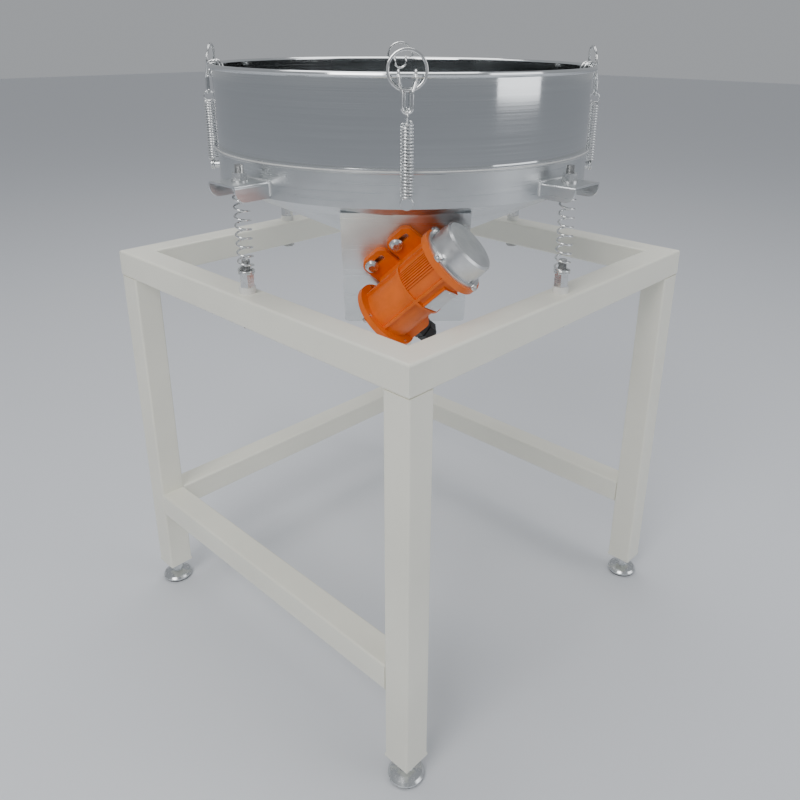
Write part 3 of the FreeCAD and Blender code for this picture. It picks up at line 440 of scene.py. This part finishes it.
def grown(name, tree, material, values):
    """A plain mesh made by a geometry tree from its named inputs."""
    holder = bpy.data.objects.new(name, bpy.data.meshes.new(name))
    bpy.context.collection.objects.link(holder)
    modifier = holder.modifiers.new("shape", "NODES")
    modifier.node_group = tree
    for item in tree.interface.items_tree:
        if item.item_type == "SOCKET" and item.in_out == "INPUT" and item.name in values:
            modifier[item.identifier] = values[item.name]
        elif item.item_type == "SOCKET" and item.name == "Material":
            modifier[item.identifier] = material
    graph = bpy.context.evaluated_depsgraph_get()
    mesh = bpy.data.meshes.new_from_object(holder.evaluated_get(graph))
    bpy.data.objects.remove(holder)
    mesh.name = name
    return mesh


def joined(name, meshes, material):
    """One object at the origin from several (mesh, matrix) pairs."""
    made = bmesh.new()
    for mesh, matrix in meshes:
        copy = mesh.copy()
        copy.transform(matrix)
        made.from_mesh(copy)
        bpy.data.meshes.remove(copy)
    mesh = bpy.data.meshes.new(name)
    made.to_mesh(mesh)
    made.free()
    mesh.materials.clear()
    mesh.materials.append(material)
    for polygon in mesh.polygons:
        polygon.material_index = 0
    piece = bpy.data.objects.new(name, mesh)
    bpy.context.collection.objects.link(piece)
    return piece


def turn(angle):
    """Turns about the vertical axis, in degrees."""
    return Matrix.Rotation(math.radians(angle), 4, "Z")


def curve_mesh(name, points, thickness, closed=False, sides=3, swell=None):
    """Round wire through a list of points; swell scales its thickness at each point."""
    curve = bpy.data.curves.new(name, "CURVE")
    curve.dimensions = "3D"
    curve.bevel_depth = thickness / 2
    curve.bevel_resolution = sides
    curve.use_fill_caps = not closed
    spline = curve.splines.new("POLY")
    spline.points.add(len(points) - 1)
    for index, (point, place_at) in enumerate(zip(spline.points, points)):
        point.co = (*place_at, 1)
        if swell:
            point.radius = swell[index]
    spline.use_cyclic_u = closed
    holder = bpy.data.objects.new(name, curve)
    bpy.context.collection.objects.link(holder)
    graph = bpy.context.evaluated_depsgraph_get()
    mesh = bpy.data.meshes.new_from_object(holder.evaluated_get(graph))
    bpy.data.objects.remove(holder)
    for polygon in mesh.polygons:
        polygon.use_smooth = True
    return mesh


# ---------------------------------------------------------------- springs, hooks, rings
def hook_points():
    """Centre line of a hook in its own frame: x outward, y along the rim, z up."""
    radius = CLIP_RADIUS
    tip, waist, arch = HOOK_TIP, HOOK_WAIST, HOOK_ARCH
    narrow, wide = HOOK_NARROW, HOOK_WIDE
    near, far = HOOK_NEAR, HOOK_NEAR - 2 * HOOK_BEND
    low = arch - HOOK_DROP + wide
    tip_arc = [(radius, -narrow * math.cos(a), tip + narrow - narrow * math.sin(a))
               for a in steps(0, math.pi, 14)]
    side = [(radius, narrow, z) for z in (tip + 2 * narrow, waist - 0.003, waist - 0.0012)]
    side += [(radius, narrow + 0.0002, waist), (near, wide, arch - 0.002), (near, wide, arch)]
    side += [((near + far) / 2 + HOOK_BEND * math.cos(a), wide, arch + HOOK_BEND * math.sin(a))
             for a in steps(0, math.pi, 14)[1:]]
    inner = [(far, wide * math.cos(a), low - wide * math.sin(a)) for a in steps(0, math.pi, 16)]
    back = [(x, -y, z) for x, y, z in reversed(side)]
    return [Vector(p) for p in tip_arc + side + inner + back]


def steps(start, stop, count):
    """Evenly spaced values, both ends included."""
    return [start + (stop - start) * i / count for i in range(count + 1)]


def eased(points, rounds=2):
    """Closed line with its kinks cut, by Chaikin's rule."""
    for _ in range(rounds):
        after = points[1:] + points[:1]
        points = [p for a, b in zip(points, after) for p in (a.lerp(b, 0.25), a.lerp(b, 0.75))]
    return points


def spring_loop(upper):
    """One loop at the end of a clip spring, closed round, standing across the axis."""
    radius = CLIP_COIL
    centre = HOOK_LOOP if upper else PEG_LOOP
    ring = steps(0, 2 * math.pi, 40)[:-1]
    if upper:
        return [Vector((CLIP_RADIUS + radius * math.cos(a), 0, centre + radius * math.sin(a))) for a in ring]
    return [Vector((CLIP_RADIUS, radius * math.cos(a), centre + radius * math.sin(a))) for a in ring]


def ring_points():
    """Centre line of two round turns side by side, and the matrix that flattens, hangs and leans them."""
    points = []
    for a in steps(0, 4 * math.pi, 144):
        step = 0.5 + 0.5 * math.tanh((a - 2 * math.pi) * 2.6)
        points.append(Vector(((step - 0.5) * RING_WIRE, RING_RADIUS * math.sin(a),
                              RING_RADIUS - RING_RADIUS * math.cos(a))))
    lean = Matrix.Rotation(-RING_LEAN, 4, "Y")
    move = Matrix.Translation((RING_SEAT, 0, RING_FOOT))
    spin = Matrix.Rotation(RING_SPLIT_AT, 4, "X")
    centre = Matrix.Translation((0, 0, RING_RADIUS))
    flat = Matrix.Diagonal((0.5, 1, 1, 1))
    return points, move @ lean @ centre @ spin @ centre.inverted() @ flat


# ---------------------------------------------------------------- small parts
def plate_matrix(angle=0.0):
    """Frame of the motor plate: x across, y up the plate, z off its face, turned about its normal."""
    out = Vector((-1, -1, 0)).normalized()
    across = Vector((1, -1, 0)).normalized()
    normal = out * math.cos(MOTOR_LEAN) - Vector((0, 0, 1)) * math.sin(MOTOR_LEAN)
    up = normal.cross(across)
    axes = Matrix((across, up, normal)).transposed().to_4x4()
    return Matrix.Translation(PLATE_TOP) @ axes @ Matrix.Rotation(angle, 4, "Z")


def motor_matrix():
    """Frame of the motor: x along its axis, which is the origin."""
    return plate_matrix(MOTOR_TURN) @ Matrix.Translation((0, MOTOR_AXIS_Y, MOTOR_AXIS_Z))


def slab(name, width, length, height, corner):
    """Flat plate with rounded corners and a softened edge, centred on the origin, rising from z = 0."""
    made = bmesh.new()
    outline = []
    for i in range(4):
        cx = (width / 2 - corner) * (1 if i in (0, 3) else -1)
        cy = (length / 2 - corner) * (1 if i in (0, 1) else -1)
        for a in steps(math.pi / 2 * i, math.pi / 2 * (i + 1), 6):
            outline.append((cx + corner * math.cos(a), cy + corner * math.sin(a)))
    face = made.faces.new([made.verts.new((x, y, 0)) for x, y in outline])
    made.normal_update()
    if face.normal.z > 0:
        face.normal_flip()
    lifted = bmesh.ops.extrude_face_region(made, geom=[face])
    top = [v for v in lifted["geom"] if isinstance(v, bmesh.types.BMVert)]
    bmesh.ops.translate(made, verts=top, vec=(0, 0, height))
    rim = [e for e in made.edges if all(v in top for v in e.verts) and len(e.link_faces) == 2]
    bmesh.ops.bevel(made, geom=rim, offset=height * 0.35, segments=2, affect="EDGES")
    bmesh.ops.recalc_face_normals(made, faces=made.faces)
    mesh = bpy.data.meshes.new(name)
    made.to_mesh(mesh)
    made.free()
    return mesh


def dome(name, radius, height):
    """Low domed rivet head, rising from z = 0."""
    made = bmesh.new()
    bmesh.ops.create_uvsphere(made, u_segments=24, v_segments=12, radius=radius)
    cut = bmesh.ops.bisect_plane(made, geom=made.verts[:] + made.edges[:] + made.faces[:], plane_co=(0, 0, 0),
                                 plane_no=(0, 0, 1), clear_inner=True)
    edges = [e for e in cut["geom_cut"] if isinstance(e, bmesh.types.BMEdge)]
    bmesh.ops.edgeloop_fill(made, edges=edges)
    bmesh.ops.scale(made, vec=(1, 1, height / radius), verts=made.verts)
    bmesh.ops.recalc_face_normals(made, faces=made.faces)
    mesh = bpy.data.meshes.new(name)
    made.to_mesh(mesh)
    made.free()
    for polygon in mesh.polygons:
        polygon.use_smooth = polygon.normal.z > -0.9
    return mesh


def bead_mesh(name, path, width, pitch=0.0011):
    """A weld bead: round wire whose thickness ripples along the path and tapers at its ends."""
    points = []
    for a, b in zip(path[:-1], path[1:]):
        count = max(1, int((b - a).length / pitch * RIPPLE_STEPS))
        points += [a.lerp(b, i / count) for i in range(count)]
    points.append(path[-1])
    swell = [0.86 + 0.14 * abs(math.cos(math.pi * index / RIPPLE_STEPS)) for index in range(len(points))]
    swell[0] = 0.6
    swell[-1] = 0.6
    return curve_mesh(name, points, width, swell=swell)


def arc_path(radius, z, start, stop, count):
    """Points along a level arc, between two angles in degrees."""
    return [Vector((radius * math.cos(math.radians(a)), radius * math.sin(math.radians(a)), z))
            for a in steps(start, stop, count)]


# ---------------------------------------------------------------- sizes taken from the CAD part
PAN_RADIUS = 0.2000
SLACK = 0.00005
STUD_DISTANCE = 0.2170
SUPPORT_SPRING_RADIUS = 0.00825
CLIP_RADIUS = 0.2103
CLIP_SPRING_RADIUS = 0.0060
CLIP_COIL = CLIP_SPRING_RADIUS - 0.00085
LOOP_INSIDE = 0.0043
PEG_HEIGHT = FRAME_TOP + 0.0997
PEG_RADIUS = 0.0040
PEG_LOOP = PEG_HEIGHT + LOOP_INSIDE - PEG_RADIUS - SLACK
COIL_LOW = FRAME_TOP + 0.1053
COIL_HIGH = FRAME_TOP + 0.1677
HOOK_LOOP = COIL_HIGH + CLIP_SPRING_RADIUS - 0.00065
HOOK_HALF_WIRE = 0.0013
HOOK_TIP = HOOK_LOOP + LOOP_INSIDE - HOOK_HALF_WIRE - 0.0003
HOOK_WAIST = FRAME_TOP + 0.1930
HOOK_BEND = 0.00675
DRUM_JOINT = FRAME_TOP + 0.1260
DRUM_HEIGHT = 0.0821
HOOK_ARCH = DRUM_JOINT + DRUM_HEIGHT + HOOK_HALF_WIRE + SLACK - HOOK_BEND
HOOK_NARROW = 0.0044
HOOK_WIDE = 0.0072
HOOK_END_RADIUS = 0.0009
HOOK_INSIDE = HOOK_NARROW - HOOK_HALF_WIRE - HOOK_END_RADIUS + 0.00016
HOOK_ENDS = (HOOK_TIP + HOOK_NARROW, (HOOK_TIP + HOOK_WAIST) / 2, HOOK_WAIST - 0.001)
HOOK_NEAR = 0.2017 - 0.00045 + HOOK_BEND
HOOK_DROP = 0.0082
RING_RADIUS = 0.0162
RING_WIRE = 0.0026
RING_LEAN = math.radians(5.0)
RING_SPLIT_AT = math.radians(115)
RING_SEAT = 0.2066
RING_FOOT = FRAME_TOP + 0.1935
BRACKET_HALF = 0.0215
CONE_SLOPE = math.tan(math.radians(26.0))
OUTLET_RADIUS = 0.045
OUTLET_JOINT = FRAME_TOP + 0.0925 - (PAN_RADIUS - OUTLET_RADIUS) * CONE_SLOPE
SEAM_AT = 250.0
SEAM_RADIUS = PAN_RADIUS - 0.00155
RIPPLE_STEPS = 4
NAMEPLATE_TILT = math.radians(25.0)
NAMEPLATE_SEAT = (-0.0175, 0, 0.0265)
NAMEPLATE_SIZE = (0.0260, 0.0180, 0.0005)
NAMEPLATE_CORNER = 0.0012
RIVET_OFFSET = 0.0112

CAMERA_PLACE = (-0.6174, -0.5966, 0.7002)
CAMERA_AZIMUTH = math.radians(-46.64)
CAMERA_ELEVATION = math.radians(20.995)
CAMERA_ROLL = math.radians(0.408)


# ---------------------------------------------------------------- one operator for each piece or group
class SIEVE_OT_finishes(bpy.types.Operator):
    """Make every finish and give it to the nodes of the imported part"""
    bl_idname = "sieve.finishes"
    bl_label = "Finishes"

    def execute(self, context):
        made = finishes()
        threaded = threaded_steel()
        slots = {n["node"]: n["material_slot"] for n in frame["record"]["subparts"]}
        for name, node in frame["nodes"].items():
            material = threaded if name in ("lower_studs", "upper_studs") else made[slots[name]]
            node.data.materials.clear()
            node.data.materials.append(material)
        return {"FINISHED"}


def threaded_steel():
    """Plated studs whose thread shows as close rings along their length: a bump for the ridges, and painted
    shade that darkens the grooves between them.
    """
    pitch = bpy.context.scene.sieve_wires.thread_pitch
    material, tree, shader = start_material("threaded_steel")
    shader.inputs["Metallic"].default_value = 1.0
    shader.inputs["Roughness"].default_value = 0.26
    wave = add(tree, "ShaderNodeTexWave", wave_type="BANDS", bands_direction="Z", wave_profile="TRI")
    wave.inputs["Scale"].default_value = math.pi / 10 / pitch
    wave.inputs["Distortion"].default_value = 0.0
    tree.links.new(place(tree), wave.inputs["Vector"])
    # painted shade: the thread's grooves are coloured dark grey (0.30) against the plated grey, standing in
    # for the shade that falls between the ridges
    tree.links.new(mixed(tree, wave.outputs["Fac"], (0.30, 0.30, 0.30), (0.74, 0.75, 0.75)),
                   shader.inputs["Base Color"])
    bump(tree, shader, wave.outputs["Fac"], 1.0, 0.0006)
    return material


class SIEVE_OT_support_springs(bpy.types.Operator):
    """Four round-wire springs between the stand and the pan"""
    bl_idname = "sieve.support_springs"
    bl_label = "Support springs"

    def execute(self, context):
        sizes = context.scene.sieve_wires
        low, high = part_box("support_springs")
        wire = sizes.support_wire
        coil = grown("support_coil", coil_tree(), bpy.data.materials["spring_steel"],
                     {"Radius": SUPPORT_SPRING_RADIUS - wire / 2, "Base": low.z + wire / 2,
                      "Height": high.z - low.z - wire,
                      "Turns": sizes.support_turns, "Wire": wire, "Flatness": 1.0, "Closed Ends": True})
        out = Matrix.Translation((STUD_DISTANCE, 0, 0))
        piece = joined("support_coils", [(coil, turn(90.0 * i) @ out) for i in range(4)],
                       bpy.data.materials["spring_steel"])
        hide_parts("support_springs")
        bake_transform(piece)
        return {"FINISHED"}


class SIEVE_OT_clips(bpy.types.Operator):
    """Four tension clips: spring, hook and pull ring"""
    bl_idname = "sieve.clips"
    bl_label = "Clips"

    def execute(self, context):
        sizes = context.scene.sieve_wires
        steel = bpy.data.materials["spring_steel"]
        wire = sizes.clip_wire
        low, high = COIL_LOW, COIL_HIGH
        coil = grown("clip_coil", coil_tree(), steel,
                     {"Radius": CLIP_SPRING_RADIUS - wire / 2, "Base": low + wire / 2,
                      "Height": high - low - wire,
                      "Turns": sizes.clip_turns, "Wire": wire, "Flatness": 1.0, "Closed Ends": False})
        loops = [curve_mesh("clip_loop", spring_loop(upper), wire, True) for upper in (False, True)]
        bridges = [curve_mesh("clip_bridge", points, wire) for points in self.bridges(low, high, wire)]
        hook = curve_mesh("hook", eased(hook_points()), sizes.hook_wire, True, 5)
        ends = [curve_mesh("hook_end", [Vector((CLIP_RADIUS, s * HOOK_INSIDE, z)) for z in HOOK_ENDS],
                           2 * HOOK_END_RADIUS) for s in (-1, 1)]
        ring = self.flat_ring()
        out = Matrix.Translation((CLIP_RADIUS, 0, 0))
        for corner, angle in CORNERS.items():
            place_at = turn(angle)
            parts = [(coil, place_at @ out)] + [(m, place_at) for m in loops + bridges]
            spring = joined("clip_coil_" + corner, parts, steel)
            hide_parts("clip_spring_" + corner)
            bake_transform(spring)
            bent = joined("hook_wire_" + corner, [(m, place_at) for m in [hook] + ends], steel)
            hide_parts("clip_hook_" + corner)
            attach(bent, "hook_" + corner)
            split = joined("split_ring_" + corner, [(ring, place_at)], steel)
            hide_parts("pull_ring_" + corner)
            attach(split, "ring_" + corner)
        return {"FINISHED"}

    def bridges(self, low, high, wire):
        """The short bends that lead from the body of a spring into its two loops."""
        r = CLIP_COIL
        turns = bpy.context.scene.sieve_wires.clip_turns
        end = 2 * math.pi * turns
        first = Vector((CLIP_RADIUS + r, 0, low + wire / 2))
        last = Vector((CLIP_RADIUS + r * math.cos(end), r * math.sin(end), high - wire / 2))
        to_peg = Vector((CLIP_RADIUS, 0, PEG_LOOP + r))
        to_hook = Vector((CLIP_RADIUS, 0, HOOK_LOOP - r))
        middle = Vector((CLIP_RADIUS + r * 0.55, 0, PEG_LOOP + r * 0.95))
        upper = Vector((CLIP_RADIUS + r * 0.55, 0, HOOK_LOOP - r * 0.95))
        return [[first, middle, to_peg], [last, upper, to_hook]]

    def flat_ring(self):
        """Split ring of two flat turns."""
        points, seat = ring_points()
        mesh = curve_mesh("ring", points, RING_WIRE, False, 5)
        mesh.transform(seat)
        return mesh


class SIEVE_OT_screen(bpy.types.Operator):
    """Woven wires of the screen, cut to the hoop"""
    bl_idname = "sieve.screen"
    bl_label = "Screen"

    def execute(self, context):
        sizes = context.scene.sieve_wires
        low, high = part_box("screen_mesh")
        wires = grown("screen_wires", screen_tree(), bpy.data.materials["mesh_wire"],
                      {"Radius": high.x, "Pitch": sizes.mesh_pitch, "Wire": sizes.mesh_wire / 2,
                       "Height": low.z + sizes.mesh_wire / 4})
        piece = joined("screen_wires", [(wires, Matrix())], bpy.data.materials["mesh_wire"])
        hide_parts("screen_mesh")
        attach(piece, "drum")
        return {"FINISHED"}


class SIEVE_OT_welds(bpy.types.Operator):
    """Weld beads of the pan, brackets and outlet, and the seam of the drum"""
    bl_idname = "sieve.welds"
    bl_label = "Welds"

    def execute(self, context):
        steel = bpy.data.materials["satin_stainless"]
        low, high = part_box("spring_brackets")
        half = BRACKET_HALF
        edge = math.degrees(math.asin(half / PAN_RADIUS))
        radius = PAN_RADIUS * math.cos(math.radians(edge))
        top = arc_path(PAN_RADIUS + 0.0002, high.z + 0.0002, -edge, edge, 14)
        side = [Vector((radius + 0.0004, -half - 0.0002, z)) for z in (low.z + 0.002, high.z)]
        other = [Vector((p.x, -p.y, p.z)) for p in side]
        beads = [bead_mesh("bracket_bead", path, 0.0028) for path in (top, side, other)]
        parts = [(m, turn(90.0 * i)) for m in beads for i in range(4)]
        spout = bead_mesh("spout_bead", arc_path(OUTLET_RADIUS + 0.0002, OUTLET_JOINT, 0, 360, 90), 0.0026)
        peg = bead_mesh("peg_bead", self.peg_path(), 0.0022)
        parts += [(spout, Matrix())] + [(peg, turn(a)) for a in CORNERS.values()]
        piece = joined("pan_welds", parts, steel)
        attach(piece, "deck")
        self.seam()
        return {"FINISHED"}

    def peg_path(self):
        """Round the foot of a clip peg, where it meets the pan."""
        radius = PEG_RADIUS + 0.0001
        return [Vector((PAN_RADIUS - 0.0001, radius * math.cos(a), PEG_HEIGHT + radius * math.sin(a)))
                for a in steps(0, 2 * math.pi, 28)]

    def seam(self):
        """The lengthwise seam, just proud inside the drum."""
        low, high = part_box("drum_shell")
        path = [Vector((SEAM_RADIUS, 0, z)) for z in (low.z + 0.008, high.z - 0.006)]
        line = bead_mesh("seam", path, 0.0012, 0.0016)
        piece = joined("drum_seam", [(line, turn(SEAM_AT))], bpy.data.materials["polished_stainless"])
        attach(piece, "drum")


class SIEVE_OT_nameplate(bpy.types.Operator):
    """Bare aluminium nameplate on the motor, held by two rivets"""
    bl_idname = "sieve.nameplate"
    bl_label = "Nameplate"

    def execute(self, context):
        plain = cast_metal("nameplate", (0.80, 0.81, 0.80), (0.30, 0.38))
        tilt = Matrix.Rotation(NAMEPLATE_TILT, 4, "X")
        seat = motor_matrix() @ tilt @ Matrix.Translation(NAMEPLATE_SEAT)
        plate = slab("nameplate", *NAMEPLATE_SIZE, NAMEPLATE_CORNER)
        rivet = dome("rivet", 0.0011, 0.0007)
        ends = [seat @ Matrix.Translation((RIVET_OFFSET * s, 0, 0.00045)) for s in (-1, 1)]
        piece = joined("motor_nameplate", [(plate, seat)] + [(rivet, end) for end in ends], plain)
        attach(piece, "deck")
        return {"FINISHED"}


class SIEVE_OT_stage(bpy.types.Operator):
    """Floor, light and camera"""
    bl_idname = "sieve.stage"
    bl_label = "Stage"

    def execute(self, context):
        look = context.scene.sieve_finishes
        self.floor(tuple(look.floor))
        self.lights()
        self.world()
        self.camera()
        return {"FINISHED"}

    def floor(self, colour):
        """A wide level floor."""
        made = bmesh.new()
        bmesh.ops.create_grid(made, x_segments=1, y_segments=1, size=12.0)
        mesh = bpy.data.meshes.new("floor")
        made.to_mesh(mesh)
        made.free()
        floor = bpy.data.objects.new("floor", mesh)
        bpy.context.collection.objects.link(floor)
        material, tree, shader = start_material("floor")
        shader.inputs["Base Color"].default_value = (*colour, 1)
        shader.inputs["Roughness"].default_value = 0.35
        mesh.materials.append(material)

    def lights(self):
        """Three soft rectangular lights, aimed at the sieve."""
        for name, place_at, aim, size, power, tint in (
                ("key", (-1.9, -0.6, 2.1), (0, 0, 0.45), (1.2, 1.4), 34, (1.0, 0.99, 0.97)),
                ("fill", (0.9, -2.3, 1.2), (0, 0, 0.4), (1.4, 1.6), 14, (0.97, 0.98, 1.0)),
                ("top", (0.3, 0.5, 2.6), (0, 0, 0.5), (1.8, 1.8), 26, (1.0, 1.0, 1.0))):
            light = bpy.data.lights.new(name, "AREA")
            light.shape = "RECTANGLE"
            light.size, light.size_y = size
            light.energy = power
            light.color = tint
            lamp = bpy.data.objects.new(name, light)
            lamp.location = place_at
            direction = Vector(aim) - Vector(place_at)
            lamp.rotation_euler = direction.to_track_quat("-Z", "Y").to_euler()
            bpy.context.collection.objects.link(lamp)

    def world(self):
        """Even pale light from all round."""
        world = bpy.data.worlds.new("studio")
        world.use_nodes = True
        world.node_tree.nodes["Background"].inputs["Color"].default_value = (0.88, 0.91, 0.95, 1)
        world.node_tree.nodes["Background"].inputs["Strength"].default_value = 0.42
        bpy.context.scene.world = world

    def camera(self):
        """A camera that looks down at the front corner."""
        lens = bpy.data.cameras.new("camera")
        lens.lens = 34.07
        lens.sensor_width = 36.0
        lens.shift_x = -0.0129
        lens.shift_y = -0.0974
        eye = bpy.data.objects.new("camera", lens)
        azimuth, elevation, roll = CAMERA_AZIMUTH, CAMERA_ELEVATION, CAMERA_ROLL
        back = Vector((math.sin(azimuth) * math.cos(elevation), -math.cos(azimuth) * math.cos(elevation),
                       math.sin(elevation)))
        right = Vector((0, 0, 1)).cross(back).normalized()
        up = back.cross(right)
        side = right * math.cos(roll) + up * math.sin(roll)
        top = up * math.cos(roll) - right * math.sin(roll)
        axes = Matrix((side, top, back)).transposed().to_4x4()
        eye.matrix_world = Matrix.Translation(CAMERA_PLACE) @ axes
        bpy.context.collection.objects.link(eye)
        bpy.context.scene.camera = eye


# ---------------------------------------------------------------- panel and registration
class SIEVE_PT_panel(bpy.types.Panel):
    bl_label = "Vibrating Sieve"
    bl_idname = "SIEVE_PT_panel"
    bl_space_type = "VIEW_3D"
    bl_region_type = "UI"
    bl_category = "Sieve"

    def draw(self, context):
        for settings in (context.scene.sieve_wires, context.scene.sieve_finishes):
            for name in settings.__annotations__:
                self.layout.prop(settings, name)
        for piece in STEPS:
            self.layout.operator(piece.bl_idname)


STEPS = (SIEVE_OT_finishes, SIEVE_OT_support_springs, SIEVE_OT_clips, SIEVE_OT_screen, SIEVE_OT_welds,
         SIEVE_OT_nameplate, SIEVE_OT_stage)
CLASSES = (SieveWires, SieveFinishes, *STEPS, SIEVE_PT_panel)


def register():
    for cls in CLASSES:
        bpy.utils.register_class(cls)
    bpy.types.Scene.sieve_wires = PointerProperty(type=SieveWires)
    bpy.types.Scene.sieve_finishes = PointerProperty(type=SieveFinishes)


def unregister():
    del bpy.types.Scene.sieve_finishes
    del bpy.types.Scene.sieve_wires
    for cls in reversed(CLASSES):
        bpy.utils.unregister_class(cls)


def main():
    register()
    bpy.ops.sieve.finishes()
    bpy.ops.sieve.support_springs()
    bpy.ops.sieve.clips()
    bpy.ops.sieve.screen()
    bpy.ops.sieve.welds()
    bpy.ops.sieve.nameplate()
    bpy.ops.sieve.stage()


if __name__ == "__main__":
    main()
